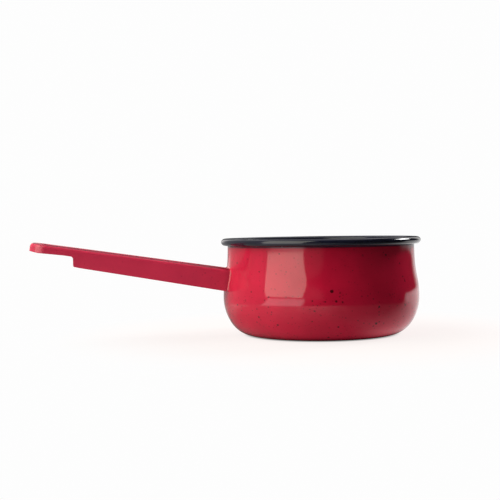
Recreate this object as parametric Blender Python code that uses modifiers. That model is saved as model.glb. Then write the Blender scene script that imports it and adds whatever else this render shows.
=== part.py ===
"""Candle melting pot: an enamelled steel bowl with a rolled rim and one long pressed handle.

Metres, +Z up. The origin is the centre of the base. The handle runs out towards -X.
"""

import math

import bmesh
import bpy
from mathutils import Matrix, Vector
from mathutils.geometry import interpolate_bezier

# Bowl, outside. A foot curve leaves the flat base. The wall is widest at the belly and narrower at the neck.
BASE_RADIUS = 0.0483
BELLY_RADIUS = 0.0688
BELLY_HEIGHT = 0.0263
NECK_RADIUS = 0.0655
NECK_HEIGHT = 0.0625
FOOT_FLATNESS = 0.67
BELLY_FULLNESS_BELOW = 0.43
BELLY_FULLNESS_ABOVE = 0.40
NECK_STRAIGHTNESS = 0.64

# Bowl wall: sheet with its outer coat, a gap, and the lining coat.
WALL = 0.0006
GAP = 0.0003
LINING = 0.0003
SHEET = WALL + GAP + LINING

# Rolled rim. The sheet rises from the neck, goes over the top and curls under, leaving a slit.
RIM_RADIUS = 0.0700
BEAD_RADIUS = 0.00244
BEAD_HEIGHT = 0.0653
CURL_END = math.radians(225)

# Handle. Heights are those of lines in the middle plane: height = START + SLOPE * distance from the axis.
TIP_WIDTH = 0.0210
ROOT_WIDTH = 0.0272
ROOT_REACH = 0.0660
HANDLE_REACH = 0.2015
HANDLE_SHEET = 0.0015
HANDLE_EDGE_RADIUS = 0.0030
TAPER_POWER = 1.6
WEB_START, WEB_SLOPE = 0.0372, 0.1530
FLANGE_START, FLANGE_SLOPE = 0.0196, 0.1802
TONGUE_START, TONGUE_SLOPE = 0.0384, 0.1130
LIP_REACH, LIP_SLOPE = 0.1954, 0.24
STEP_REACH = 0.1720
STEP_CORNER_RADIUS = 0.0010
STEP_FILLET_RADIUS = 0.0020
HOLE_RADIUS = 0.0040

# Weld run between the handle's root and the wall: its radius, and how far its middle stands off both.
WELD_RADIUS = 0.0016
WELD_STANDOFF = 0.0009

SEGMENTS = 56
WALL_STEPS = 9
FOOT_STEPS = 11
SIDE_STEPS = 12
HALVINGS = 24
MERGE = 0.00001

# Block that the channel is made from. It starts inside the bowl and is trimmed back to the wall.
HANDLE_START = 0.045
CHANNEL_DEPTH = 0.034

RED_ENAMEL = (0.42, 0.012, 0.020)
DARK_ENAMEL = (0.010, 0.011, 0.020)
WEB_TILT = math.atan(WEB_SLOPE)


def new_collection(name, is_render_hidden=False):
    collection = bpy.data.collections.new(name)
    collection.hide_render = is_render_hidden
    bpy.context.scene.collection.children.link(collection)
    return collection


def new_material(name, color, roughness):
    material = bpy.data.materials.new(name)
    material.use_nodes = True
    shader = material.node_tree.nodes["Principled BSDF"]
    shader.inputs["Base Color"].default_value = (*color, 1.0)
    shader.inputs["Roughness"].default_value = roughness
    shader.inputs["Metallic"].default_value = 0.0
    shader.inputs["Coat Weight"].default_value = 0.6
    material.diffuse_color = (*color, 1.0)
    return material


# --- Outlines -------------------------------------------------------------------------------------


def arc(centre, radius, start, end, steps, height=None):
    """Points on a circle, or on an ellipse if a height is given, from one angle to another."""
    up = radius if height is None else height
    turns = [start + (end - start) * step / steps for step in range(steps + 1)]
    return [(centre[0] + radius * math.cos(t), centre[1] + up * math.sin(t)) for t in turns]


def bezier(start, start_handle, end_handle, end, steps):
    knots = [(*point, 0.0) for point in (start, start_handle, end_handle, end)]
    return [(p.x, p.y) for p in interpolate_bezier(*knots, steps + 1)]


def wall_outline():
    """The bowl's outer side as (radius, height), from the neck down to the edge of the base."""
    rise = NECK_HEIGHT - BELLY_HEIGHT
    neck = (NECK_RADIUS, NECK_HEIGHT)
    belly = (BELLY_RADIUS, BELLY_HEIGHT)
    neck_handle = (NECK_RADIUS, NECK_HEIGHT - NECK_STRAIGHTNESS * rise)
    belly_handle = (BELLY_RADIUS, BELLY_HEIGHT + BELLY_FULLNESS_ABOVE * rise)
    belly_handle_low = (BELLY_RADIUS, BELLY_HEIGHT * (1 - BELLY_FULLNESS_BELOW))
    foot_handle = (BASE_RADIUS + FOOT_FLATNESS * (BELLY_RADIUS - BASE_RADIUS), 0.0)
    upper = bezier(neck, neck_handle, belly_handle, belly, WALL_STEPS)
    lower = bezier(belly, belly_handle_low, foot_handle, (BASE_RADIUS, 0.0), FOOT_STEPS)
    return upper + lower[1:]


def grown(outline, distance):
    """The wall outline moved outwards along its normals."""
    moved = []
    last = len(outline) - 1
    for index, (radius, height) in enumerate(outline):
        before = outline[max(index - 1, 0)]
        after = outline[min(index + 1, last)]
        along_r, along_z = after[0] - before[0], after[1] - before[1]
        if index in (0, last):
            along_r, along_z = (0.0, -1.0) if index == 0 else (-1.0, 0.0)
        length = math.hypot(along_r, along_z)
        moved.append((radius - distance * along_z / length, height + distance * along_r / length))
    return moved


def bowl_outline(distance):
    """The whole outer side, moved outwards, from the neck to the middle of the base."""
    return grown(wall_outline(), distance) + [(0.0, -distance)]


def wall_radius(height):
    """The bowl's outer radius at a height between the belly and the neck."""
    points = wall_outline()
    for above, below in zip(points, points[1:]):
        if below[1] <= height <= above[1]:
            share = (height - below[1]) / (above[1] - below[1])
            return below[0] + share * (above[0] - below[0])
    return BELLY_RADIUS


def rim_outline():
    """The middle of the rolled sheet: up from the neck, over the top, and round under itself."""
    inner = NECK_RADIUS - SHEET / 2
    outer = RIM_RADIUS - SHEET / 2
    curl = BEAD_RADIUS - SHEET / 2
    crown = arc(((inner + outer) / 2, BEAD_HEIGHT), (outer - inner) / 2, math.pi, 0.0, 9, curl)
    under = arc((outer - curl, BEAD_HEIGHT), curl, 0.0, -CURL_END + math.pi / 2, 7)
    return [(inner, NECK_HEIGHT + GAP)] + crown + under[1:]


def half_width(along):
    """Half the handle's width at a distance along its top face. It widens gently from tip to root."""
    share = max(0.0, (tip_centre() - along) / (tip_centre() - ROOT_REACH))
    return TIP_WIDTH / 2 + (ROOT_WIDTH - TIP_WIDTH) / 2 * share**TAPER_POWER


def web_outline(spread=0.0):
    """The handle seen square on, its edge moved outwards by a distance: tapering sides, half-round end."""
    sides = [HANDLE_START + (tip_centre() - HANDLE_START) * step / SIDE_STEPS for step in range(SIDE_STEPS)]
    left = [(-along, half_width(along) + spread) for along in sides]
    right = [(-along, -half_width(along) - spread) for along in reversed(sides)]
    tip = arc((-tip_centre(), 0.0), TIP_WIDTH / 2 + spread, math.pi / 2, 3 * math.pi / 2, 24)
    return left + tip + right


def section_outline(spread):
    """The upside-down channel's outer section near its root, moved outwards, as (across, up)."""
    half = half_width(ROOT_REACH) + spread
    radius = HANDLE_EDGE_RADIUS + spread
    foot = FLANGE_START - WEB_START + (FLANGE_SLOPE - WEB_SLOPE) * ROOT_REACH
    right = arc((half - radius, spread - radius), radius, 0.0, math.pi / 2, 6)
    straight = [(half, foot + (spread - radius - foot) * step / 4) for step in range(4)]
    side = straight + right
    return side + [(-across, up) for across, up in reversed(side)]


def side_outline():
    """What is cut away below the handle, seen from the side: flange line, step, tongue line and lip."""
    flange_foot = (-STEP_REACH, FLANGE_START + FLANGE_SLOPE * STEP_REACH)
    tongue_foot = (-STEP_REACH, TONGUE_START + TONGUE_SLOPE * STEP_REACH)
    corner, fillet = STEP_CORNER_RADIUS, STEP_FILLET_RADIUS
    inner, outer, floor = HANDLE_START, HANDLE_REACH + CHANNEL_DEPTH, -CHANNEL_DEPTH
    corner_centre = (flange_foot[0] + corner, flange_foot[1] + corner)
    fillet_centre = (tongue_foot[0] - fillet, tongue_foot[1] - fillet)
    lip = TONGUE_START + TONGUE_SLOPE * LIP_REACH
    return (
        [(-inner, FLANGE_START + FLANGE_SLOPE * inner)]
        + arc(corner_centre, corner, -math.pi / 2, -math.pi, 4)
        + arc(fillet_centre, fillet, 0.0, math.pi / 2, 5)
        + [(-LIP_REACH, lip), (-outer, lip + LIP_SLOPE * (outer - LIP_REACH))]
        + [(-outer, floor), (-inner, floor)]
    )


# --- Shapes ---------------------------------------------------------------------------------------


def add_object(name, mesh, collection):
    obj = bpy.data.objects.new(name, mesh)
    collection.objects.link(obj)
    return obj


def hidden(obj):
    """Marks a helper shape, which cuts or joins a part and is not a part itself."""
    obj.hide_render = True
    obj.display_type = "WIRE"
    return obj


def turned(name, outline, collection):
    """An outline, as (radius, height) from the top down, turned about the bowl's axis."""
    mesh = bpy.data.meshes.new(name)
    edges = [(index, index + 1) for index in range(len(outline) - 1)]
    mesh.from_pydata([(radius, 0.0, height) for radius, height in outline], edges, [])
    obj = add_object(name, mesh, collection)
    screw = obj.modifiers.new("turn", "SCREW")
    screw.steps = SEGMENTS
    screw.render_steps = SEGMENTS
    screw.use_merge_vertices = True
    screw.merge_threshold = MERGE
    return obj


def thicken(obj, thickness, side):
    """Gives a surface its sheet thickness: side -1 behind it, 0 on both sides, 1 in front."""
    solidify = obj.modifiers.new("sheet", "SOLIDIFY")
    solidify.thickness = thickness
    solidify.offset = side
    solidify.use_even_offset = True
    return obj


def boolean(obj, operation, other):
    modifier = obj.modifiers.new(f"{operation.lower()} {other.name}", "BOOLEAN")
    modifier.operation = operation
    modifier.object = other
    modifier.solver = "EXACT"


def mesh_of(obj, name):
    """The object's shape with its curve and modifiers worked out, its loose caps welded."""
    bpy.context.view_layer.update()
    graph = bpy.context.evaluated_depsgraph_get()
    mesh = bpy.data.meshes.new_from_object(obj.evaluated_get(graph))
    mesh.name = name
    bm = bmesh.new()
    bm.from_mesh(mesh)
    bmesh.ops.remove_doubles(bm, verts=bm.verts, dist=MERGE / 10)
    bm.to_mesh(mesh)
    bm.free()
    return mesh


def curve_solid(name, curve, matrix, collection):
    """A mesh made from a curve object, which is then removed."""
    guide = add_object(f"{name}_curve", curve, collection)
    obj = add_object(name, mesh_of(guide, name), collection)
    obj.matrix_world = matrix
    bpy.data.objects.remove(guide)
    return obj


def prism(name, outline, depth, matrix, collection):
    """A flat outline made solid, half its depth to each side of the matrix's XY plane."""
    curve = bpy.data.curves.new(name, "CURVE")
    curve.dimensions = "2D"
    curve.fill_mode = "BOTH"
    curve.extrude = depth / 2
    spline = curve.splines.new("POLY")
    spline.points.add(len(outline) - 1)
    spline.use_cyclic_u = True
    for point, (across, up) in zip(spline.points, outline):
        point.co = (across, up, 0.0, 1.0)
    return curve_solid(name, curve, matrix, collection)


def rod(name, path, radius, collection):
    """A round bar along a path of points."""
    curve = bpy.data.curves.new(name, "CURVE")
    curve.dimensions = "3D"
    curve.bevel_depth = radius
    curve.bevel_resolution = 2
    curve.use_fill_caps = True
    spline = curve.splines.new("POLY")
    spline.points.add(len(path) - 1)
    for point, place in zip(spline.points, path):
        point.co = (*place, 1.0)
    return curve_solid(name, curve, Matrix.Identity(4), collection)


def finish(obj, material):
    """Works out the part's modifiers, shades it smooth and gives it its material."""
    mesh = mesh_of(obj, obj.name)
    obj.modifiers.clear()
    obj.data = mesh
    mesh.shade_smooth()
    mesh.set_sharp_from_angle(angle=math.radians(35))
    mesh.materials.clear()
    mesh.materials.append(material)
    return obj


# --- Planes of the handle -------------------------------------------------------------------------


def web_plane():
    """X and Y lie in the handle's top face, with -X towards its tip, and Z is the face's normal."""
    return Matrix.Translation((0.0, 0.0, WEB_START)) @ Matrix.Rotation(WEB_TILT, 4, "Y")


def channel_plane():
    """The plane through the middle of the block that the channel is made from, its top in the top face."""
    return web_plane() @ Matrix.Translation((0.0, 0.0, -CHANNEL_DEPTH / 2))


def side_plane():
    """Outline (x, z), depth along Y."""
    return Matrix.Rotation(math.pi / 2, 4, "X")


def tip_centre():
    """The middle of the half-round end, as a distance along the top face."""
    lip = TONGUE_START + TONGUE_SLOPE * LIP_REACH + LIP_SLOPE * (HANDLE_REACH - LIP_REACH)
    skirt = lip - (WEB_START + WEB_SLOPE * HANDLE_REACH)
    return (HANDLE_REACH + skirt * math.sin(WEB_TILT)) / math.cos(WEB_TILT) - TIP_WIDTH / 2


def wall_meeting(across, up, distance):
    """Where a line parallel to the handle, offset across and up, comes to a distance from the wall."""
    low, high = HANDLE_START, NECK_RADIUS + BASE_RADIUS
    for _ in range(HALVINGS):
        middle = (low + high) / 2
        point = web_plane() @ Vector((-middle, across, up))
        if math.hypot(point.x, point.y) > wall_radius(point.z) + distance:
            high = middle
        else:
            low = middle
    return web_plane() @ Vector((-high, across, up))


# --- Parts ----------------------------------------------------------------------------------------


def make_bowl_shell(parts):
    return thicken(turned("bowl_shell", bowl_outline(0.0), parts), WALL, -1)


def make_inner_enamel(parts):
    return thicken(turned("inner_enamel", bowl_outline(-WALL - GAP), parts), LINING, -1)


def make_rolled_rim(parts):
    return thicken(turned("rolled_rim", rim_outline(), parts), SHEET, 0)


def make_bowl_cutter(cutters):
    """The space that the bowl takes up, with the gap that its neighbours keep."""
    closed = [(0.0, NECK_HEIGHT)] + bowl_outline(GAP)
    return hidden(turned("bowl_space", closed, cutters))


def handle_block(name, spread, collection):
    """A deep block in the handle's outline with a rounded top edge, its top and sides moved outwards."""
    plane = channel_plane() @ Matrix.Translation((0.0, 0.0, spread))
    block = prism(name, web_outline(spread), CHANNEL_DEPTH, plane, collection)
    bm = bmesh.new()
    bm.from_mesh(block.data)
    top = [face for face in bm.faces if face.normal.z > 0.9]
    bmesh.ops.dissolve_faces(bm, faces=top)
    ring = [edge for edge in bm.edges if all(v.co.z > 0.0 for v in edge.verts)]
    radius = HANDLE_EDGE_RADIUS + spread
    bmesh.ops.bevel(bm, geom=ring, offset=radius, segments=4, profile=0.5, affect="EDGES")
    bm.to_mesh(block.data)
    bm.free()
    return block


def make_channel(parts):
    """The handle's sheet before it is trimmed: a deep upside-down channel with a round closed end."""
    channel = handle_block("handle", 0.0, parts)
    bm = bmesh.new()
    bm.from_mesh(channel.data)
    bottom = [face for face in bm.faces if face.normal.z < -0.9]
    bmesh.ops.delete(bm, geom=bottom, context="FACES_ONLY")
    bm.to_mesh(channel.data)
    bm.free()
    return thicken(channel, HANDLE_SHEET, -1)


def make_hole_cutter(cutters):
    bpy.ops.mesh.primitive_cylinder_add(vertices=32, radius=HOLE_RADIUS, depth=0.012)
    cutter = bpy.context.object
    cutter.name = "hanging_hole"
    for collection in list(cutter.users_collection):
        collection.objects.unlink(cutter)
    cutters.objects.link(cutter)
    cutter.matrix_world = web_plane() @ Matrix.Translation((-tip_centre(), 0.0, 0.0))
    return hidden(cutter)


def make_handle(parts, cutters, bowl_space):
    handle = make_channel(parts)
    below = hidden(prism("below_handle", side_outline(), 0.060, side_plane(), cutters))
    boolean(handle, "DIFFERENCE", below)
    boolean(handle, "DIFFERENCE", bowl_space)
    boolean(handle, "DIFFERENCE", make_hole_cutter(cutters))
    return handle


def weld_path():
    """Up one side of the root, over it and down the other side, in the corner between handle and wall."""
    return [wall_meeting(across, up, WELD_STANDOFF) for across, up in section_outline(WELD_STANDOFF)]


def make_handle_weld(parts, cutters, bowl_space):
    weld = rod("handle_weld", weld_path(), WELD_RADIUS, parts)
    boolean(weld, "DIFFERENCE", bowl_space)
    boolean(weld, "DIFFERENCE", hidden(handle_block("handle_space", GAP, cutters)))
    return weld


def main():
    for obj in list(bpy.data.objects):
        bpy.data.objects.remove(obj)
    parts = new_collection("candle_melting_pot")
    cutters = new_collection("cutters", is_render_hidden=True)
    red = new_material("red_enamel", RED_ENAMEL, 0.16)
    dark = new_material("dark_enamel", DARK_ENAMEL, 0.14)
    bowl_space = make_bowl_cutter(cutters)
    finish(make_bowl_shell(parts), red)
    finish(make_inner_enamel(parts), dark)
    finish(make_rolled_rim(parts), dark)
    finish(make_handle(parts, cutters, bowl_space), red)
    finish(make_handle_weld(parts, cutters, bowl_space), red)


main()
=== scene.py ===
import math

import bmesh
import bpy
from mathutils import Matrix, Vector


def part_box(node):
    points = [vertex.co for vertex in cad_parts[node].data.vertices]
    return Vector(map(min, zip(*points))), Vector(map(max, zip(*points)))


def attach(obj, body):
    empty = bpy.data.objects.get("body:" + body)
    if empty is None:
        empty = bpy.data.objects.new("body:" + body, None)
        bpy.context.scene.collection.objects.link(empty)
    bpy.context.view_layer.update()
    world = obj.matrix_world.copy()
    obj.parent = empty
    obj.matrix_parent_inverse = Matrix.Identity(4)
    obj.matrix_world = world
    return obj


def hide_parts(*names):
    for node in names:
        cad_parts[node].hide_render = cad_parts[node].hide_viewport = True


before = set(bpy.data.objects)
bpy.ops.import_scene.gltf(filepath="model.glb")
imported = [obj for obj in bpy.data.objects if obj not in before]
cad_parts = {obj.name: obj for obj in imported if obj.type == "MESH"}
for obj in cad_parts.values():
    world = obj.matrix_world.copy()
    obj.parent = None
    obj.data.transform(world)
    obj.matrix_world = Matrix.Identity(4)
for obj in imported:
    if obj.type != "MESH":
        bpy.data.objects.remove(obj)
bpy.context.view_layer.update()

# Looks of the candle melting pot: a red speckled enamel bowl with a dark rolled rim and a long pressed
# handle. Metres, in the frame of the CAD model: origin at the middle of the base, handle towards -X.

# --- Sizes taken from the frame -------------------------------------------------------------------

shell_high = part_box("bowl_shell")[1]
rim_low, rim_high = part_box("rolled_rim")

BELLY_RADIUS = shell_high.x
NECK_HEIGHT = shell_high.z
RIM_RADIUS = round(rim_high.x, 4)
HANDLE_REACH = -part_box("handle")[0].x
LINING_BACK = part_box("inner_enamel")[0].z
LINING = 0.0003
WALL = 0.0006
GAP = LINING_BACK - WALL
SHEET = LINING_BACK + LINING

# --- Shape of the wall, as in the CAD model -------------------------------------------------------

BASE_RADIUS = 0.0483
BELLY_HEIGHT = 0.0263
NECK_RADIUS = 0.0655
FOOT_FLATNESS = 0.67
BELLY_FULLNESS_BELOW = 0.43
BELLY_FULLNESS_ABOVE = 0.40
NECK_STRAIGHTNESS = 0.64
BEAD_RADIUS = 0.00244
BEAD_HEIGHT = 0.0653
CURL_END = math.radians(225)
BASE_HOLLOW = 0.0004
HOLLOW_EDGE = (0.034, 0.043)

# --- Shape of the handle --------------------------------------------------------------------------

TIP_WIDTH = 0.0210
ROOT_WIDTH = 0.0272
ROOT_REACH = 0.0660
HANDLE_SHEET = 0.0015
HANDLE_EDGE_RADIUS = 0.0030
TAPER_POWER = 1.6
WEB_START, WEB_SLOPE = 0.0372, 0.1530
FLANGE_START, FLANGE_SLOPE = 0.0196, 0.1802
TONGUE_START, TONGUE_SLOPE = 0.0384, 0.1130
LIP_REACH, LIP_SLOPE = 0.1954, 0.24
LIP_START = TONGUE_START + (TONGUE_SLOPE - LIP_SLOPE) * LIP_REACH
STEP_REACH = 0.1720
STEP_CORNER_RADIUS = 0.0010
STEP_FILLET_RADIUS = 0.0020
HOLE_RADIUS = 0.0040
CUT_EDGE_RADIUS = 0.00045
FILLET_RADIUS = 0.0016
FOOT_FILLET_RADIUS = 0.0018
WELD_END_RADIUS = 0.0006
WEB_TILT = math.atan(WEB_SLOPE)
COS, SIN = math.cos(WEB_TILT), math.sin(WEB_TILT)

AROUND = 224
SHARP_ANGLE = math.radians(50)


# --- Small helpers --------------------------------------------------------------------------------


def smooth(value, low, high):
    """0 below low, 1 above high, and an even S between them."""
    share = min(max((value - low) / (high - low), 0.0), 1.0)
    return share * share * (3 - 2 * share)


def mix(a, b, share):
    return a + (b - a) * share


def arc(centre, radius, start, end, steps, height=None):
    up = radius if height is None else height
    turns = [start + (end - start) * step / steps for step in range(steps + 1)]
    return [(centre[0] + radius * math.cos(t), centre[1] + up * math.sin(t)) for t in turns]


def bezier_weights(t):
    return (1 - t) ** 3, 3 * t * (1 - t) ** 2, 3 * t * t * (1 - t), t**3


def bezier(start, start_handle, end_handle, end, steps):
    knots = (start, start_handle, end_handle, end)
    points = []
    for step in range(steps + 1):
        weights = bezier_weights(step / steps)
        points.append(tuple(sum(w * knot[axis] for w, knot in zip(weights, knots)) for axis in (0, 1)))
    return points


def object_from(name, vertices, faces):
    mesh = bpy.data.meshes.new(name)
    mesh.from_pydata(vertices, [], faces)
    mesh.update()
    obj = bpy.data.objects.new(name, mesh)
    bpy.context.scene.collection.objects.link(obj)
    return obj


def apply_modifiers(obj):
    bpy.context.view_layer.update()
    graph = bpy.context.evaluated_depsgraph_get()
    mesh = bpy.data.meshes.new_from_object(obj.evaluated_get(graph))
    obj.modifiers.clear()
    obj.data = mesh
    return obj


def outward(obj):
    bm = bmesh.new()
    bm.from_mesh(obj.data)
    bmesh.ops.remove_doubles(bm, verts=bm.verts, dist=1e-7)
    bmesh.ops.recalc_face_normals(bm, faces=bm.faces)
    bm.to_mesh(obj.data)
    bm.free()
    return obj


def turned(name, outline):
    """A closed outline of (radius, height) points turned about the bowl's axis."""
    vertices, faces = [], []
    count = len(outline)
    for turn in range(AROUND):
        angle = 2 * math.pi * turn / AROUND
        for radius, height in outline:
            vertices.append((radius * math.cos(angle), radius * math.sin(angle), height))
    for turn in range(AROUND):
        here, after = turn * count, ((turn + 1) % AROUND) * count
        for index in range(count):
            following = (index + 1) % count
            faces.append((here + index, after + index, after + following, here + following))
    obj = outward(object_from(name, vertices, faces))
    obj.data.shade_smooth()
    obj.data.set_sharp_from_angle(angle=SHARP_ANGLE)
    return obj


def even_faces(obj, width):
    """Rounds the sharp edges of a sheet, and shades its flat faces flat."""
    bevel = obj.modifiers.new("soft_edges", "BEVEL")
    bevel.width = width
    bevel.segments = 3
    bevel.limit_method = "ANGLE"
    bevel.angle_limit = SHARP_ANGLE
    bevel.use_clamp_overlap = True
    obj.data.shade_smooth()
    obj.modifiers.new("even_normals", "WEIGHTED_NORMAL")
    return apply_modifiers(obj)


# --- Outlines of the bowl -------------------------------------------------------------------------


def wall_outline(upper_steps=40, lower_steps=44):
    """The bowl's outer side as (radius, height), from the neck down to the edge of the base."""
    rise = NECK_HEIGHT - BELLY_HEIGHT
    neck_handle = (NECK_RADIUS, NECK_HEIGHT - NECK_STRAIGHTNESS * rise)
    belly_handle = (BELLY_RADIUS, BELLY_HEIGHT + BELLY_FULLNESS_ABOVE * rise)
    belly_handle_low = (BELLY_RADIUS, BELLY_HEIGHT * (1 - BELLY_FULLNESS_BELOW))
    foot_handle = (BASE_RADIUS + FOOT_FLATNESS * (BELLY_RADIUS - BASE_RADIUS), 0.0)
    belly = (BELLY_RADIUS, BELLY_HEIGHT)
    upper = bezier((NECK_RADIUS, NECK_HEIGHT), neck_handle, belly_handle, belly, upper_steps)
    lower = bezier(belly, belly_handle_low, foot_handle, (BASE_RADIUS, 0.0), lower_steps)
    return upper + lower[1:]


def grown(outline, distance):
    """The wall outline moved outwards along its normals."""
    moved = []
    last = len(outline) - 1
    for index, (radius, height) in enumerate(outline):
        before = outline[max(index - 1, 0)]
        after = outline[min(index + 1, last)]
        along_r, along_z = after[0] - before[0], after[1] - before[1]
        if index in (0, last):
            along_r, along_z = (0.0, -1.0) if index == 0 else (-1.0, 0.0)
        length = math.hypot(along_r, along_z)
        moved.append((radius - distance * along_z / length, height + distance * along_r / length))
    return moved


WALL_POINTS = wall_outline()


def wall_radius(height, distance=0.0):
    """The outer radius of the wall, moved outwards by a distance, at a height above the belly."""
    points = grown(WALL_POINTS, distance)
    for above, below in zip(points, points[1:]):
        if below[1] <= height <= above[1]:
            return mix(below[0], above[0], (height - below[1]) / (above[1] - below[1]))
    return points[0][0]


def floor_of(distance):
    """The base from its edge to its middle, with its middle raised a little."""
    height = -distance
    radii = [BASE_RADIUS * (1 - step / 12) for step in range(1, 12)] + [0.00001]
    return [(r, height + BASE_HOLLOW * (1 - smooth(r, *HOLLOW_EDGE))) for r in radii]


def sheet_outline(outer, inner):
    """A closed outline between two offsets of the wall."""
    outside = grown(WALL_POINTS, outer) + floor_of(outer)
    inside = grown(WALL_POINTS, inner) + floor_of(inner)
    return outside + inside[::-1]


def rim_outline():
    """The rolled sheet's closed section: up from the neck, over the top, and round under itself."""
    inner = NECK_RADIUS - SHEET / 2
    outer = RIM_RADIUS - SHEET / 2
    curl = BEAD_RADIUS - SHEET / 2
    crown = arc(((inner + outer) / 2, BEAD_HEIGHT), (outer - inner) / 2, math.pi, 0.0, 24, curl)
    under = arc((outer - curl, BEAD_HEIGHT), curl, 0.0, math.pi / 2 - CURL_END, 20)
    middle = [(inner, mix(rim_low.z, BEAD_HEIGHT, step / 4)) for step in range(4)] + crown + under[1:]
    left, right = [], []
    for index, (radius, height) in enumerate(middle):
        before = middle[max(index - 1, 0)]
        after = middle[min(index + 1, len(middle) - 1)]
        along_r, along_z = after[0] - before[0], after[1] - before[1]
        length = math.hypot(along_r, along_z)
        side_r, side_z = -along_z / length * SHEET / 2, along_r / length * SHEET / 2
        left.append((radius + side_r, height + side_z))
        right.append((radius - side_r, height - side_z))
    return left + right[::-1]


# --- Materials ------------------------------------------------------------------------------------


class Tree:
    """Builds a node tree a line at a time. A source is either another node's output or a plain value."""

    def __init__(self, tree):
        self.tree = tree

    def add(self, kind, **settings):
        node = self.tree.nodes.new(kind)
        for key, value in settings.items():
            setattr(node, key, value)
        return node

    def link(self, source, target):
        if hasattr(source, "is_output"):
            self.tree.links.new(source, target)
        else:
            target.default_value = source

    def math(self, operation, first, second=0.0, third=0.0):
        node = self.add("ShaderNodeMath", operation=operation)
        for value, socket in zip((first, second, third), node.inputs):
            self.link(value, socket)
        return node.outputs[0]

    def vector(self, operation, first, *others):
        """A vector result, such as a sum or a product."""
        node = self.add("ShaderNodeVectorMath", operation=operation)
        for value, socket in zip((first, *others), node.inputs):
            self.link(value, socket)
        return node.outputs["Vector"]

    def measure(self, operation, first, *others):
        """A number found from vectors: a length, a distance or a dot product."""
        node = self.add("ShaderNodeVectorMath", operation=operation)
        for value, socket in zip((first, *others), node.inputs):
            self.link(value, socket)
        return node.outputs["Value"]

    def toward(self, vector, direction):
        """How far a vector runs in a direction."""
        return self.measure("DOT_PRODUCT", vector, direction)

    def ramp(self, value, low, high, first=0.0, last=1.0):
        """The first value at low and the last at high, with a soft step between them."""
        node = self.add("ShaderNodeMapRange", interpolation_type="SMOOTHSTEP")
        ends = (("From Min", low), ("From Max", high), ("To Min", first), ("To Max", last))
        for name, setting in (("Value", value), *ends):
            self.link(setting, node.inputs[name])
        return node.outputs["Result"]


class Enamel(Tree):
    """A material's node tree round its Principled shader, with the enamel's colour so far."""

    def __init__(self, name):
        self.material = bpy.data.materials.new(name)
        self.material.use_nodes = True
        super().__init__(self.material.node_tree)
        self.shader = self.tree.nodes["Principled BSDF"]
        self.place = self.add("ShaderNodeTexCoord").outputs["Object"]
        self.color = None
        self.relief = None

    def noise(self, scale, detail=2.0, roughness=0.5, output="Fac"):
        node = self.add("ShaderNodeTexNoise")
        self.link(self.place, node.inputs["Vector"])
        self.link(scale, node.inputs["Scale"])
        self.link(detail, node.inputs["Detail"])
        self.link(roughness, node.inputs["Roughness"])
        return node.outputs[output]

    def height(self):
        node = self.add("ShaderNodeSeparateXYZ")
        self.link(self.place, node.inputs[0])
        return node.outputs["Z"]

    def mix(self, share, first, second):
        node = self.add("ShaderNodeMix", data_type="RGBA")
        self.link(share, node.inputs[0])
        self.link(first, node.inputs[6])
        self.link(second, node.inputs[7])
        return node.outputs[2]

    def specks(self, scale, largest, evenness, shift):
        """Round spots of mixed sizes, one at most to a cell: 1 in a spot and 0 outside."""
        moved = self.vector("ADD", self.place, (shift, shift * 1.7, shift * 0.6))
        cells = self.add("ShaderNodeTexVoronoi", feature="F1")
        self.link(moved, cells.inputs["Vector"])
        self.link(scale, cells.inputs["Scale"])
        chance = self.add("ShaderNodeSeparateColor")
        self.link(cells.outputs["Color"], chance.inputs[0])
        size = self.math("POWER", chance.outputs[0], evenness)
        radius = self.math("MULTIPLY", size, largest * scale)
        edge = self.math("MULTIPLY", radius, SPECK_CORE)
        return self.ramp(cells.outputs["Distance"], radius, edge)

    def tint(self, share, amount, tone):
        """Brings the colour an amount of the way to a tone where share is 1."""
        self.color = self.mix(self.math("MULTIPLY", share, amount), self.color, tone)

    def finish(self, strength, depth, roughness):
        """Puts the colour, the relief and the gloss on the shader."""
        bump = self.add("ShaderNodeBump")
        self.link(self.relief, bump.inputs["Height"])
        bump.inputs["Strength"].default_value = strength
        bump.inputs["Distance"].default_value = depth
        self.link(bump.outputs[0], self.shader.inputs["Normal"])
        self.link(self.color, self.shader.inputs["Base Color"])
        self.link(roughness, self.shader.inputs["Roughness"])
        self.shader.inputs["IOR"].default_value = GLASS_IOR
        return self.material


RED = (0.62, 0.0085, 0.045, 1.0)
DEEP_RED = (0.53, 0.0065, 0.037, 1.0)
# The handle's reds are lighter, paler copies of the bowl's enamel: painted light, standing in for the light
# and pale sheen the handle catches.
HANDLE_RED_PAINTED_LIGHT = (0.76, 0.0360, 0.098, 1.0)
HANDLE_DEEP_RED_PAINTED_LIGHT = (0.69, 0.0310, 0.089, 1.0)
SPECK = (0.070, 0.002, 0.006, 1.0)
# Dark red of thin enamel at sharp edges; the handle also uses it as painted shade.
EDGE_AND_SHADE_RED = (0.09, 0.007, 0.016, 1.0)
NAVY = (0.0075, 0.0080, 0.0190, 1.0)
NAVY_THIN = (0.012, 0.012, 0.030, 1.0)
FLECK = (0.45, 0.46, 0.50, 1.0)
GLASS_IOR = 1.52
SPECK_CORE = 0.70
SPOT_CORE = 0.60
SPOT_WANDER = 0.0009
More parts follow.
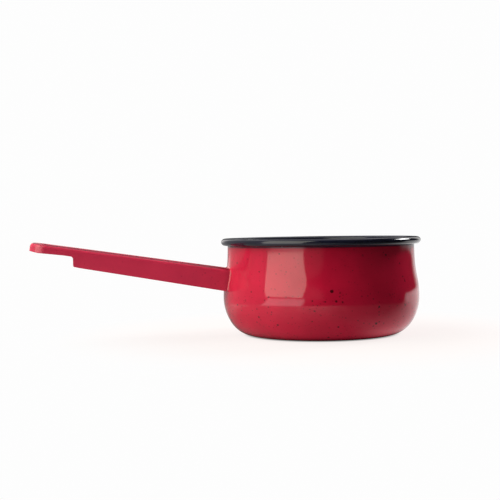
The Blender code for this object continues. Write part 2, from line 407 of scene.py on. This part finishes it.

# Specks of the bowl listed one by one, as (degrees round from -Y towards -X, height in mm, radius in mm).
# The first 15 follow clear ones in the photograph, read off it. The rest only fill in between them.
BOWL_SPOTS = (
    (6.2, 34.0, 1.35),
    (3.9, 27.5, 1.00),
    (70.8, 51.7, 0.80),
    (9.8, 27.4, 0.70),
    (15.5, 21.5, 0.75),
    (16.7, 28.1, 0.65),
    (-40.5, 50.3, 0.75),
    (-43.6, 38.7, 0.90),
    (-21.1, 11.9, 1.10),
    (-28.5, 56.3, 0.85),
    (49.5, 16.6, 0.90),
    (66.5, 23.8, 0.65),
    (36.0, 58.3, 0.65),
    (54.1, 33.1, 0.60),
    (49.5, 46.4, 0.60),
    (0.5, 27.0, 0.70),
    (2.0, 30.5, 0.50),
    (14.0, 25.0, 0.50),
    (12.2, 18.5, 0.45),
    (18.0, 22.6, 0.45),
    (52.0, 13.0, 0.55),
    (44.0, 10.5, 0.50),
    (28.0, 17.0, 0.45),
    (31.0, 40.0, 0.40),
    (-22.8, 13.0, 0.60),
    (-19.5, 10.2, 0.60),
    (-26.8, 58.0, 0.50),
    (-31.0, 53.5, 0.50),
    (-42.0, 41.5, 0.60),
    (-15.0, 38.0, 0.40),
    (-6.0, 47.0, 0.40),
    (24.0, 31.0, 0.40),
    (60.0, 27.0, 0.45),
    (63.0, 20.0, 0.50),
)


def red_enamel(name, shift, tones=(RED, DEEP_RED), speckled=1.0):
    """Glossy red glass enamel with dark specks, which are fainter higher up. It darkens at sharp edges."""
    n = Enamel(name)
    n.color = n.mix(n.ramp(n.noise(38.0, 4.0, 0.6), 0.3, 0.72), tones[1], tones[0])
    patches = n.ramp(n.noise(30.0), 0.38, 0.62)
    small = n.specks(480.0, 0.00066, 1.1, shift)
    large = n.specks(185.0, 0.00095, 1.7, shift + 0.31)
    amount = n.math("MULTIPLY_ADD", n.ramp(n.height(), 0.040, 0.024), 0.62, 0.38)
    amount = n.math("MULTIPLY", amount, speckled)
    fine = n.math("MULTIPLY", small, n.math("MULTIPLY_ADD", patches, 0.45, 0.28))
    n.tint(fine, amount, SPECK)
    n.tint(n.math("MULTIPLY", large, 0.95), amount, SPECK)
    pointed = n.add("ShaderNodeNewGeometry").outputs["Pointiness"]
    n.tint(n.ramp(pointed, 0.53, 0.60), 0.8, EDGE_AND_SHADE_RED)
    waves = n.math("MULTIPLY", n.noise(210.0), 0.22)
    n.relief = n.math("SUBTRACT", waves, n.math("MULTIPLY", large, 0.5))
    return n


def finish_red(n, dullness=0.045):
    roughness = n.math("MULTIPLY_ADD", n.noise(70.0, 3.0), 0.05, dullness)
    return n.finish(0.20, 0.00020, roughness)


def bowl_enamel():
    """The bowl's red, with the listed specks. It turns to the rim's navy just below the rim."""
    n = red_enamel("bowl_red", 0.0)
    wander = (SPOT_WANDER, SPOT_WANDER, SPOT_WANDER)
    wandered = n.vector("MULTIPLY_ADD", n.noise(900.0, output="Color"), wander, n.place)
    for azimuth, height, radius in BOWL_SPOTS:
        turn = math.radians(azimuth)
        reach = wall_radius(height / 1000)
        centre = Vector((-reach * math.sin(turn), -reach * math.cos(turn), height / 1000))
        away = n.measure("DISTANCE", wandered, centre + Vector(wander) / 2)
        spot = n.ramp(away, radius / 1000, SPOT_CORE * radius / 1000)
        n.tint(spot, min(0.97, 0.40 + radius), SPECK)
    level = n.math("ADD", n.height(), n.math("MULTIPLY", n.noise(60.0), 0.0003))
    n.tint(n.ramp(level, NECK_HEIGHT - 0.0010, NECK_HEIGHT + 0.0006), 0.90, NAVY_THIN)
    return finish_red(n)


def handle_enamel():
    """The handle's red, a lighter copy of the bowl's as painted light. Painted shade darkens the rounded
    edges of its top face, the corner with the wall, and more faintly the part near the root.
    """
    n = red_enamel("handle_red", 0.07, (HANDLE_RED_PAINTED_LIGHT, HANDLE_DEEP_RED_PAINTED_LIGHT), speckled=0.8)
    facing = n.toward(n.add("ShaderNodeNewGeometry").outputs["Normal"], (SIN, 0.0, COS))
    # Painted shade: the rounded edges of the top face are darkened by the way they face, standing in for the
    # dark reflection they show.
    painted_edge_shade = n.math("MULTIPLY", n.ramp(facing, 0.62, 0.86), n.ramp(facing, 0.998, 0.960))
    n.tint(painted_edge_shade, 0.82, EDGE_AND_SHADE_RED)
    reach = n.measure("LENGTH", n.vector("MULTIPLY", n.place, (1.0, 1.0, 0.0)))
    # Painted shade in the corner with the wall, and a fainter one over the part near the root.
    n.tint(n.ramp(reach, 0.0725, 0.0675), 0.25, EDGE_AND_SHADE_RED)
    n.tint(n.ramp(reach, 0.115, 0.080), 0.14, EDGE_AND_SHADE_RED)
    return finish_red(n, dullness=0.20)


def dark_enamel(name):
    """Glossy navy-black glass enamel."""
    n = Enamel(name)
    n.color = n.mix(n.ramp(n.noise(55.0, 4.0, 0.6), 0.3, 0.75), NAVY, NAVY_THIN)
    n.relief = n.math("MULTIPLY", n.noise(240.0), 0.4)
    return n


def add_flecks(n, shift):
    """Fine pale flecks, as inside the bowl."""
    patches = n.ramp(n.noise(24.0, 3.0), 0.35, 0.65)
    fine = n.specks(520.0, 0.00042, 1.8, shift)
    coarse = n.specks(210.0, 0.00085, 3.2, shift + 0.2)
    n.tint(fine, n.math("MULTIPLY_ADD", patches, 0.6, 0.25), FLECK)
    n.tint(coarse, 0.85, FLECK)
    n.relief = n.math("ADD", n.relief, n.math("MULTIPLY", coarse, 0.3))


def finish_dark(n):
    roughness = n.math("MULTIPLY_ADD", n.noise(85.0, 3.0), 0.06, 0.07)
    return n.finish(0.15, 0.00018, roughness)


# --- Bowl pieces ----------------------------------------------------------------------------------


def give(obj, material, node):
    obj.data.materials.clear()
    obj.data.materials.append(material)
    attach(obj, "root")
    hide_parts(node)
    return obj


def make_bowl():
    bowl = turned("bowl", sheet_outline(0.0, -WALL))
    give(bowl, bowl_enamel(), "bowl_shell")


def make_lining():
    lining = turned("lining", sheet_outline(-WALL - GAP, -SHEET))
    enamel = dark_enamel("lining_navy")
    add_flecks(enamel, 0.13)
    give(lining, finish_dark(enamel), "inner_enamel")


def make_rim():
    rim = turned("rim_bead", rim_outline())
    give(rim, finish_dark(dark_enamel("rim_navy")), "rolled_rim")


# --- Handle ---------------------------------------------------------------------------------------
# Its sheet is laid out in the web's own frame: u runs out along the web, v across it, and w is its normal.

SKIRT_AT_TIP = LIP_START + LIP_SLOPE * HANDLE_REACH - WEB_START - WEB_SLOPE * HANDLE_REACH
TIP_U = (HANDLE_REACH + SKIRT_AT_TIP * SIN) / COS
TIP_HALF = TIP_WIDTH / 2
CENTRE_U = TIP_U - TIP_HALF
NOTCH_U = CENTRE_U - 0.010
ROOT_U = 0.0740
CORNER_STEPS = 8
SKIRT_STEPS = 6
WEB_STEPS = 10
NOTCH_STEPS = 10
ROOT_STEPS = 5
HOLE_RINGS = 6
TIP_STEPS = 40
FLANGE_COLUMNS = 24
TONGUE_COLUMNS = 4
STEP_MARGIN = 0.0030
STEP_SPREAD = 0.0020


def half_width(u):
    """Half the handle's width. It widens gently from tip to root."""
    share = max(0.0, (CENTRE_U - u) / (CENTRE_U - ROOT_REACH))
    return TIP_HALF + (ROOT_WIDTH - TIP_WIDTH) / 2 * share**TAPER_POWER


def place(u, v, w):
    return Vector((-u * COS + w * SIN, v, WEB_START + u * SIN + w * COS))


def web_coordinates(reach, height):
    """(u, w) of a point in the middle plane given by its distance from the axis and its height."""
    rise = height - WEB_START
    return reach * COS + rise * SIN, rise * COS - reach * SIN


def lower_line(u, start, slope):
    """The w of a straight lower edge at u."""
    return (start - WEB_START + u * (slope * COS - SIN)) / (COS + slope * SIN)


def tongue_line(u):
    """The w of the tongue's lower edge, which turns up more steeply near the tip."""
    return max(lower_line(u, TONGUE_START, TONGUE_SLOPE), lower_line(u, LIP_START, LIP_SLOPE))


def step_points():
    """The lower edge round the step, from the flange line to the tongue line, as (u, w)."""
    flange_foot = FLANGE_START + FLANGE_SLOPE * STEP_REACH
    tongue_foot = TONGUE_START + TONGUE_SLOPE * STEP_REACH
    corner, fillet = STEP_CORNER_RADIUS, STEP_FILLET_RADIUS
    outer_corner = arc((-STEP_REACH + corner, flange_foot + corner), corner, -math.pi / 2, -math.pi, 5)
    inner_corner = arc((-STEP_REACH - fillet, tongue_foot - fillet), fillet, 0.0, math.pi / 2, 6)
    return [web_coordinates(-x, z) for x, z in outer_corner + inner_corner]


def side_columns():
    """The columns of one straight side, from the root outwards, as (top u, foot u, foot w).
    At the step they crowd together at the foot, round its corner and its fillet."""
    columns = []
    step = step_points()
    for index in range(FLANGE_COLUMNS + 1):
        u = mix(ROOT_U, step[0][0] - STEP_MARGIN, index / FLANGE_COLUMNS)
        columns.append((u, u, lower_line(u, FLANGE_START, FLANGE_SLOPE)))
    first_top, last_top = step[0][0] - STEP_SPREAD, step[-1][0] + STEP_SPREAD
    for index, (u, w) in enumerate(step):
        columns.append((mix(first_top, last_top, index / (len(step) - 1)), u, w))
    first = step[-1][0] + 1.5 * STEP_MARGIN
    for index in range(TONGUE_COLUMNS):
        u = mix(first, NOTCH_U, index / TONGUE_COLUMNS)
        columns.append((u, u, tongue_line(u)))
    for index in range(NOTCH_STEPS + 1):
        u = mix(NOTCH_U, CENTRE_U, index / NOTCH_STEPS)
        columns.append((u, u, tongue_line(u)))
    return columns


def column_points(top_u, side, foot_u, foot_w):
    """One side's points from the edge of the flat web, round the corner and down the skirt."""
    radius = HANDLE_EDGE_RADIUS
    points = []
    for index in range(CORNER_STEPS + 1):
        turn = math.pi / 2 * index / CORNER_STEPS
        across = half_width(top_u) - radius + radius * math.sin(turn)
        points.append((top_u, side * across, radius * math.cos(turn) - radius))
    for index in range(1, SKIRT_STEPS + 1):
        share = index / SKIRT_STEPS
        u = mix(top_u, foot_u, share)
        points.append((u, side * half_width(u), mix(-radius, foot_w, share)))
    return points


def tip_points(turn):
    """A column of the half-round end, standing at an angle from one side to the other."""
    radius = HANDLE_EDGE_RADIUS
    out_u, out_v = math.sin(turn), math.cos(turn)
    foot_w = tongue_line(CENTRE_U + TIP_HALF * out_u)
    points = []
    for index in range(CORNER_STEPS + 1):
        bend = math.pi / 2 * index / CORNER_STEPS
        reach = TIP_HALF - radius + radius * math.sin(bend)
        points.append((CENTRE_U + reach * out_u, reach * out_v, radius * math.cos(bend) - radius))
    for index in range(1, SKIRT_STEPS + 1):
        share = index / SKIRT_STEPS
        points.append((CENTRE_U + TIP_HALF * out_u, TIP_HALF * out_v, mix(-radius, foot_w, share)))
    return points


def section_points(column):
    """A whole section of the straight part, from one foot over the web to the other foot."""
    top_u, foot_u, foot_w = column
    near = column_points(top_u, -1, foot_u, foot_w)[::-1]
    far = column_points(top_u, 1, foot_u, foot_w)
    flat = half_width(top_u) - HANDLE_EDGE_RADIUS
    web = [(top_u, mix(-flat, flat, index / WEB_STEPS), 0.0) for index in range(1, WEB_STEPS)]
    return near + web + far


def wall_meeting(v, w, distance):
    """The u at which the line (v, w) comes to that distance from the wall."""
    low, high = 0.045, 0.080
    for _ in range(30):
        middle = (low + high) / 2
        point = place(middle, v, w)
        if math.hypot(point.x, point.y) > wall_radius(point.z, distance):
            high = middle
        else:
            low = middle
    return (low + high) / 2


def root_rows(first_column):
    """Rows from the first straight section in to the wall."""
    rows = [[] for _ in range(ROOT_STEPS)]
    for u, v, w in section_points(first_column):
        wall_u = wall_meeting(v, w, GAP * 1.5)
        for index in range(ROOT_STEPS):
            at_u = mix(u, wall_u, (index + 1) / ROOT_STEPS)
            rows[index].append((at_u, v * half_width(at_u) / half_width(u), drop(w, u, at_u)))
    return rows


def drop(w, from_u, to_u):
    """Keeps a point on its own line as u changes: the skirt's foot follows the flange line."""
    depth_from = lower_line(from_u, FLANGE_START, FLANGE_SLOPE) + HANDLE_EDGE_RADIUS
    depth_to = lower_line(to_u, FLANGE_START, FLANGE_SLOPE) + HANDLE_EDGE_RADIUS
    if w > -HANDLE_EDGE_RADIUS:
        return w
    return -HANDLE_EDGE_RADIUS + (w + HANDLE_EDGE_RADIUS) * depth_to / depth_from


class Sheet:
    """Collects points and faces. Points that fall together are made one at the end."""

    def __init__(self):
        self.vertices = []
        self.faces = []

    def grid(self, rows):
        base = len(self.vertices)
        width = len(rows[0])
        for row in rows:
            self.vertices += [place(*point) for point in row]
        for r in range(len(rows) - 1):
            for c in range(width - 1):
                corner = base + r * width + c
                self.faces.append((corner, corner + 1, corner + width + 1, corner + width))


def notch_boundary():
    """The edge of the flat web round the root side of the hole, from one side to the other."""
    sides = [mix(CENTRE_U, NOTCH_U, i / NOTCH_STEPS) for i in range(NOTCH_STEPS + 1)]
    near = [(u, HANDLE_EDGE_RADIUS - half_width(u)) for u in sides]
    far = [(u, -v) for u, v in reversed(near)]
    across = [(NOTCH_U, mix(near[-1][1], far[0][1], i / WEB_STEPS)) for i in range(1, WEB_STEPS)]
    return near + across + far


def hole_rows():
    """Rows from the hole's root side out to the edge of the flat web."""
    boundary = notch_boundary()
    count = len(boundary) - 1
    rows = []
    for ring in range(HOLE_RINGS + 1):
        share = ring / HOLE_RINGS
        row = []
        for index, (u, v) in enumerate(boundary):
            turn = math.pi * index / count
            hole_u = CENTRE_U - HOLE_RADIUS * math.sin(turn)
            hole_v = -HOLE_RADIUS * math.cos(turn)
            row.append((mix(hole_u, u, share), mix(hole_v, v, share), 0.0))
        rows.append(row)
    return rows


def tip_rows():
    """The half-round end, each row running from the hole over the edge to the skirt's foot."""
    flat = TIP_HALF - HANDLE_EDGE_RADIUS
    rows = []
    for index in range(TIP_STEPS + 1):
        turn = math.pi * index / TIP_STEPS
        out_u, out_v = math.sin(turn), math.cos(turn)
        web = []
        for ring in range(HOLE_RINGS):
            reach = mix(HOLE_RADIUS, flat, ring / HOLE_RINGS)
            web.append((CENTRE_U + reach * out_u, reach * out_v, 0.0))
        rows.append(web + tip_points(turn))
    return rows


def make_handle():
    columns = side_columns()
    straight = [column for column in columns if column[0] <= NOTCH_U + 1e-9]
    notch = [column for column in columns if column[0] >= NOTCH_U - 1e-9]
    sheet = Sheet()
    rows = root_rows(columns[0])[::-1] + [section_points(column) for column in straight]
    sheet.grid(rows)
    for side in (-1, 1):
        sheet.grid([column_points(top_u, side, foot_u, foot_w) for top_u, foot_u, foot_w in notch])
    sheet.grid(hole_rows())
    sheet.grid(tip_rows())
    handle = outward_sheet(object_from("handle_pressing", sheet.vertices, sheet.faces))
    solidify = handle.modifiers.new("sheet", "SOLIDIFY")
    solidify.thickness = HANDLE_SHEET
    solidify.offset = -1
    solidify.use_even_offset = True
    even_faces(handle, CUT_EDGE_RADIUS)
    give(handle, handle_enamel(), "handle")


def outward_sheet(obj):
    """Joins the patches and turns every face of the open sheet upwards and outwards."""
    bm = bmesh.new()
    bm.from_mesh(obj.data)
    bmesh.ops.remove_doubles(bm, verts=bm.verts, dist=1e-5)
    bmesh.ops.recalc_face_normals(bm, faces=bm.faces)
    highest = max(bm.faces, key=lambda face: face.calc_center_median().z)
    if highest.normal.z < 0:
        bmesh.ops.reverse_faces(bm, faces=bm.faces)
    bm.to_mesh(obj.data)
    bm.free()
    return obj


# --- Weld -----------------------------------------------------------------------------------------

WELD_STEPS = 10
SUNK = 0.00006


def weld_stations():
    """Places round the root's outside as (v, w, outward v, outward w, fillet radius).
    They run from under one foot, up its side, over the web, and down to under the other foot."""
    half = half_width(ROOT_REACH)
    foot = lower_line(ROOT_REACH, FLANGE_START, FLANGE_SLOPE)
    radius, bend = HANDLE_EDGE_RADIUS, WELD_END_RADIUS
    under = [(half - 0.0011, foot, 0.0, -1.0, WELD_END_RADIUS)]
    for index in range(7):
        turn = math.pi / 2 * (1 - index / 6)
        out_v, out_w = math.cos(turn), -math.sin(turn)
        grown_radius = mix(0.0008, FOOT_FILLET_RADIUS, index / 6)
        under.append((half - bend + bend * out_v, foot + bend + bend * out_w, out_v, out_w, grown_radius))
    side = []
    for index in range(1, 13):
        share = index / 12
        size = mix(FOOT_FILLET_RADIUS, FILLET_RADIUS, smooth(share, 0.0, 0.35))
        side.append((half, mix(foot + bend, -radius, share), 1.0, 0.0, size))
    for index in range(1, 9):
        turn = math.pi / 2 * index / 8
        out_v, out_w = math.cos(turn), math.sin(turn)
        side.append((half - radius + radius * out_v, radius * out_w - radius, out_v, out_w, FILLET_RADIUS))
    for index in range(1, 9):
        side.append((mix(half - radius, 0.0, index / 8), 0.0, 0.0, 1.0, FILLET_RADIUS))
    half_path = under + side
    mirrored = [(-v, w, -out_v, out_w, size) for v, w, out_v, out_w, size in reversed(half_path[:-1])]
    return half_path + mirrored


def weld_ring(station, lump):
    """The weld's section at one place: a hollow curve from the handle's face to the wall, closed behind."""
    v, w, out_v, out_w, size = station
    size *= lump
    corner = place(wall_meeting(v, w, 0.0), v, w)
    along = (place(1.0, 0.0, 0.0) - place(0.0, 0.0, 0.0)).normalized()
    out = place(0.0, out_v, out_w) - place(0.0, 0.0, 0.0)
    side_v, side_w = v + out_v * size, w + out_w * size
    on_wall = place(wall_meeting(side_v, side_w, -SUNK), side_v, side_w)
    on_handle = corner + along * size - out * SUNK
    knots = (on_handle, on_handle.lerp(corner, 0.58), on_wall.lerp(corner, 0.58), on_wall)
    ring = []
    for step in range(WELD_STEPS + 1):
        weights = bezier_weights(step / WELD_STEPS)
        ring.append(sum((knot * weight for knot, weight in zip(knots, weights)), Vector()))
    ring.append(corner - along * SUNK * 2 - out * SUNK * 2)
    return ring


def make_weld():
    stations = weld_stations()
    vertices, faces = [], []
    for index, station in enumerate(stations):
        share = index / (len(stations) - 1)
        lump = 1 + 0.035 * math.sin(29 * share) + 0.025 * math.sin(61 * share + 1)
        vertices += weld_ring(station, lump)
    count = WELD_STEPS + 2
    for index in range(len(stations) - 1):
        for turn in range(count):
            here, after = index * count + turn, index * count + (turn + 1) % count
            faces.append((here, after, after + count, here + count))
    faces.append(tuple(range(count)))
    faces.append(tuple(range(len(vertices) - count, len(vertices))))
    weld = outward(object_from("weld_fillet", vertices, faces))
    weld.data.shade_smooth()
    weld.data.set_sharp_from_angle(angle=math.radians(60))
    give(weld, finish_red(red_enamel("weld_red", 0.19)), "handle_weld")


# --- Studio ---------------------------------------------------------------------------------------

CAMERA_PLACE = Vector((-0.1474, -0.6916, 0.0779))
CAMERA_YAW = math.radians(8.0)
CAMERA_DOWN = 0.0261
CAMERA_ROLL = -0.0147
CAMERA_LENS = 71.88
FLOOR_LEVEL = -0.0002
WHITE = 0.985
BEHIND = (0.2079, 0.9781, 0.0)
LEFT = (-0.985, 0.174, 0.0)
FRONT_LEFT = (-0.45, -0.893, 0.0)
WINDOW_SIDE = (-0.788, -0.616, 0.0)
BAY_RADIANCE = 1.05
FRONT_RADIANCE = 0.03
FILL_RADIANCE = 0.38
GLANCE_RADIANCE = 0.20
PANE_RADIANCE = 2.1


def make_camera():
    data = bpy.data.cameras.new("camera")
    data.lens = CAMERA_LENS
    data.sensor_width = 36.0
    data.clip_start = 0.01
    data.clip_end = 100.0
    camera = bpy.data.objects.new("camera", data)
    bpy.context.scene.collection.objects.link(camera)
    ahead = Vector((math.sin(CAMERA_YAW), math.cos(CAMERA_YAW), 0.0))
    forward = ahead * math.cos(CAMERA_DOWN) - Vector((0.0, 0.0, math.sin(CAMERA_DOWN)))
    level = Vector((math.cos(CAMERA_YAW), -math.sin(CAMERA_YAW), 0.0))
    upright = level.cross(forward)
    right = level * math.cos(CAMERA_ROLL) + upright * math.sin(CAMERA_ROLL)
    up = upright * math.cos(CAMERA_ROLL) - level * math.sin(CAMERA_ROLL)
    turn = Matrix((right, up, -forward)).transposed().to_4x4()
    camera.matrix_world = Matrix.Translation(CAMERA_PLACE) @ turn
    bpy.context.scene.camera = camera


def area_light(name, direction, distance, size, radiance, color=(1.0, 1.0, 1.0), lights=True, shows=True):
    """A rectangular softbox that faces the pot, lights it, shows in its gloss, or both.

    direction is (azimuth, elevation) in degrees, with azimuth 0 at -Y and 90 at -X, and radiance is how
    bright its face looks.
    """
    azimuth, elevation = (math.radians(angle) for angle in direction)
    data = bpy.data.lights.new(name, "AREA")
    data.shape = "RECTANGLE"
    data.size, data.size_y = size
    data.energy = radiance * size[0] * size[1] * math.pi
    data.color = color
    light = bpy.data.objects.new(name, data)
    bpy.context.scene.collection.objects.link(light)
    outwards = Vector((-math.sin(azimuth), -math.cos(azimuth), math.tan(elevation))).normalized()
    target = Vector((0.0, 0.0, 0.04))
    light.location = target + outwards * distance
    light.rotation_mode = "QUATERNION"
    light.rotation_quaternion = (-outwards).to_track_quat("-Z", "Y")
    light.visible_camera = False
    light.visible_diffuse = lights
    light.visible_glossy = shows


class Studio(Tree):
    """The node tree of the world or the floor. What the camera sees of it isn't what lights the pot."""

    def __init__(self, tree):
        super().__init__(tree)
        tree.nodes.clear()
        self.rays = self.add("ShaderNodeLightPath").outputs

    def emission(self, strength, color=(1.0, 1.0, 1.0, 1.0)):
        node = self.add("ShaderNodeEmission")
        self.link(color, node.inputs["Color"])
        self.link(strength, node.inputs["Strength"])
        return node.outputs[0]

    def background(self, strength, color):
        node = self.add("ShaderNodeBackground")
        self.link(color, node.inputs["Color"])
        self.link(strength, node.inputs["Strength"])
        return node.outputs[0]

    def matt(self, color):
        node = self.add("ShaderNodeBsdfDiffuse")
        self.link(color, node.inputs["Color"])
        return node.outputs[0]

    def grey(self, value):
        node = self.add("ShaderNodeCombineColor")
        for socket in node.inputs:
            self.link(value, socket)
        return node.outputs[0]

    def sum_shaders(self, first, second):
        node = self.add("ShaderNodeAddShader")
        self.link(first, node.inputs[0])
        self.link(second, node.inputs[1])
        return node.outputs[0]

    def mix_shaders(self, share, first, second):
        node = self.add("ShaderNodeMixShader")
        for source, socket in zip((share, first, second), node.inputs):
            self.link(source, socket)
        return node.outputs[0]

    def output(self, kind, others, camera):
        """Shows one shader to the camera and the other to every other ray."""
        shader = self.mix_shaders(self.rays["Is Camera Ray"], others, camera)
        self.link(shader, self.add(kind).inputs["Surface"])


def make_world():
    """White to the eye. What falls on the pot is bright behind it and dim in front, as in a studio bay."""
    world = bpy.data.worlds.new("studio")
    bpy.context.scene.world = world
    world.use_nodes = True
    t = Studio(world.node_tree)
    direction = t.add("ShaderNodeTexCoord").outputs["Generated"]
    around = t.vector("NORMALIZE", t.vector("MULTIPLY", direction, (1.0, 1.0, 0.0)))
    behind = t.toward(around, BEHIND)
    bay = t.ramp(behind, 0.765, 0.95, FRONT_RADIANCE, BAY_RADIANCE)
    gloom = t.ramp(behind, 0.950, 0.985, 1.0, 0.04)
    fill = t.ramp(t.toward(direction, LEFT), 0.25, 0.62, 0.0, FILL_RADIANCE)
    glance = t.ramp(t.toward(direction, FRONT_LEFT), 0.93, 0.975, 0.0, GLANCE_RADIANCE)
    cast = t.math("ADD", t.math("MULTIPLY", bay, gloom), t.math("ADD", fill, glance))
    others = t.background(cast, (1.0, 0.98, 0.96, 1.0))
    t.output("ShaderNodeOutputWorld", others, t.background(WHITE, (1.0, 1.0, 1.0, 1.0)))


def lit_floor(t, place, distance):
    """The floor as it lights the pot and shows in its gloss: bright to the right and at the left, dark in
    front and under the foot, and beyond the near ground only the room's own tones."""
    heading = t.vector("NORMALIZE", place)
    left = t.math("POWER", t.ramp(t.toward(place, (-0.89, -0.45, 0.0)), -0.01, 0.135), 1.3)
    back = t.ramp(t.toward(place, (0.20, 0.98, 0.0)), 0.0, 0.08, 0.0, 0.5)
    tone = t.math("MAXIMUM", left, back)
    right_side = t.ramp(t.toward(place, (1.0, 0.0, 0.0)), 0.005, 0.035)
    right_back = t.ramp(t.toward(place, (-0.21, 1.0, 0.0)), -0.100, -0.035)
    right = t.math("MULTIPLY", right_side, right_back)
    near = t.ramp(distance, 0.18, 0.06)
    bounce = t.math("MULTIPLY_ADD", t.rays["Is Diffuse Ray"], 0.34, 0.08)
    glow = t.math("MULTIPLY_ADD", right, 0.64, t.math("MULTIPLY", near, bounce))
    glow = t.math("MULTIPLY_ADD", tone, 0.06, glow)
    glow = t.math("MULTIPLY", t.ramp(distance, 0.0525, 0.0630), glow)
    ground = t.sum_shaders(t.matt(t.grey(t.ramp(tone, 0.0, 1.0, 0.10, 0.45))), t.emission(glow))
    # The window's light carries on down over the far ground, but only in the pot's gloss.
    pane = t.ramp(t.toward(heading, WINDOW_SIDE), 0.912, 0.942, 0.0, PANE_RADIANCE)
    pane = t.math("MULTIPLY", pane, t.rays["Is Glossy Ray"])
    dim = t.ramp(t.toward(heading, (-0.94, 0.34, 0.0)), -0.30, 0.75, FRONT_RADIANCE, 0.40)
    room = t.emission(t.math("MAXIMUM", pane, dim))
    beyond = t.math("SUBTRACT", 1.0, t.ramp(right, 0.0, 0.6))
    beyond = t.math("MULTIPLY", t.ramp(distance, 0.17, 0.23), beyond)
    return t.mix_shaders(beyond, ground, room)


def seen_floor(t, distance):
    """The floor as the camera sees it: a faint warm shade near the pot, dark only right under its foot."""
    contact = t.ramp(distance, 0.0555, 0.0495, 0.88, 0.30)
    near = t.sum_shaders(t.matt(t.grey(0.10)), t.emission(contact, (1.0, 0.945, 0.93, 1.0)))
    return t.mix_shaders(t.ramp(distance, 0.09, 0.20), near, t.emission(WHITE))


def make_floor():
    """A pale table. Only the ground near the pot takes a faint shadow, and further off it is plain white."""
    corners = [(-3, -3, FLOOR_LEVEL), (3, -3, FLOOR_LEVEL), (3, 3, FLOOR_LEVEL), (-3, 3, FLOOR_LEVEL)]
    floor = object_from("floor", corners, [(0, 1, 2, 3)])
    material = bpy.data.materials.new("pale_floor")
    material.use_nodes = True
    t = Studio(material.node_tree)
    place = t.add("ShaderNodeTexCoord").outputs["Object"]
    distance = t.measure("LENGTH", place)
    t.output("ShaderNodeOutputMaterial", lit_floor(t, place, distance), seen_floor(t, distance))
    floor.data.materials.append(material)


def make_lights():
    warm = (1.0, 1.0, 0.84)
    area_light("left_softbox", (65, 30), 1.2, (0.98, 1.35), 2.5, warm, shows=False)
    area_light("left_window", (54.5, 30), 1.2, (1.13, 1.35), 2.45, warm, lights=False)
    area_light("high_softbox", (112, 50), 1.2, (1.2, 0.9), 3.0, (1.0, 1.0, 0.95), shows=False)
    area_light("right_light", (-112, 35), 1.2, (0.45, 0.26), 28.0, shows=False)
    area_light("right_strip", (-108, 30), 1.2, (0.50, 0.27), 16.0, lights=False)
    area_light("top_softbox", (180, 78), 1.3, (1.6, 1.6), 0.5)


def make_studio():
    make_camera()
    make_world()
    make_floor()
    make_lights()
    bpy.context.scene.view_settings.view_transform = "Standard"


make_studio()
make_bowl()
make_lining()
make_rim()
make_handle()
make_weld()
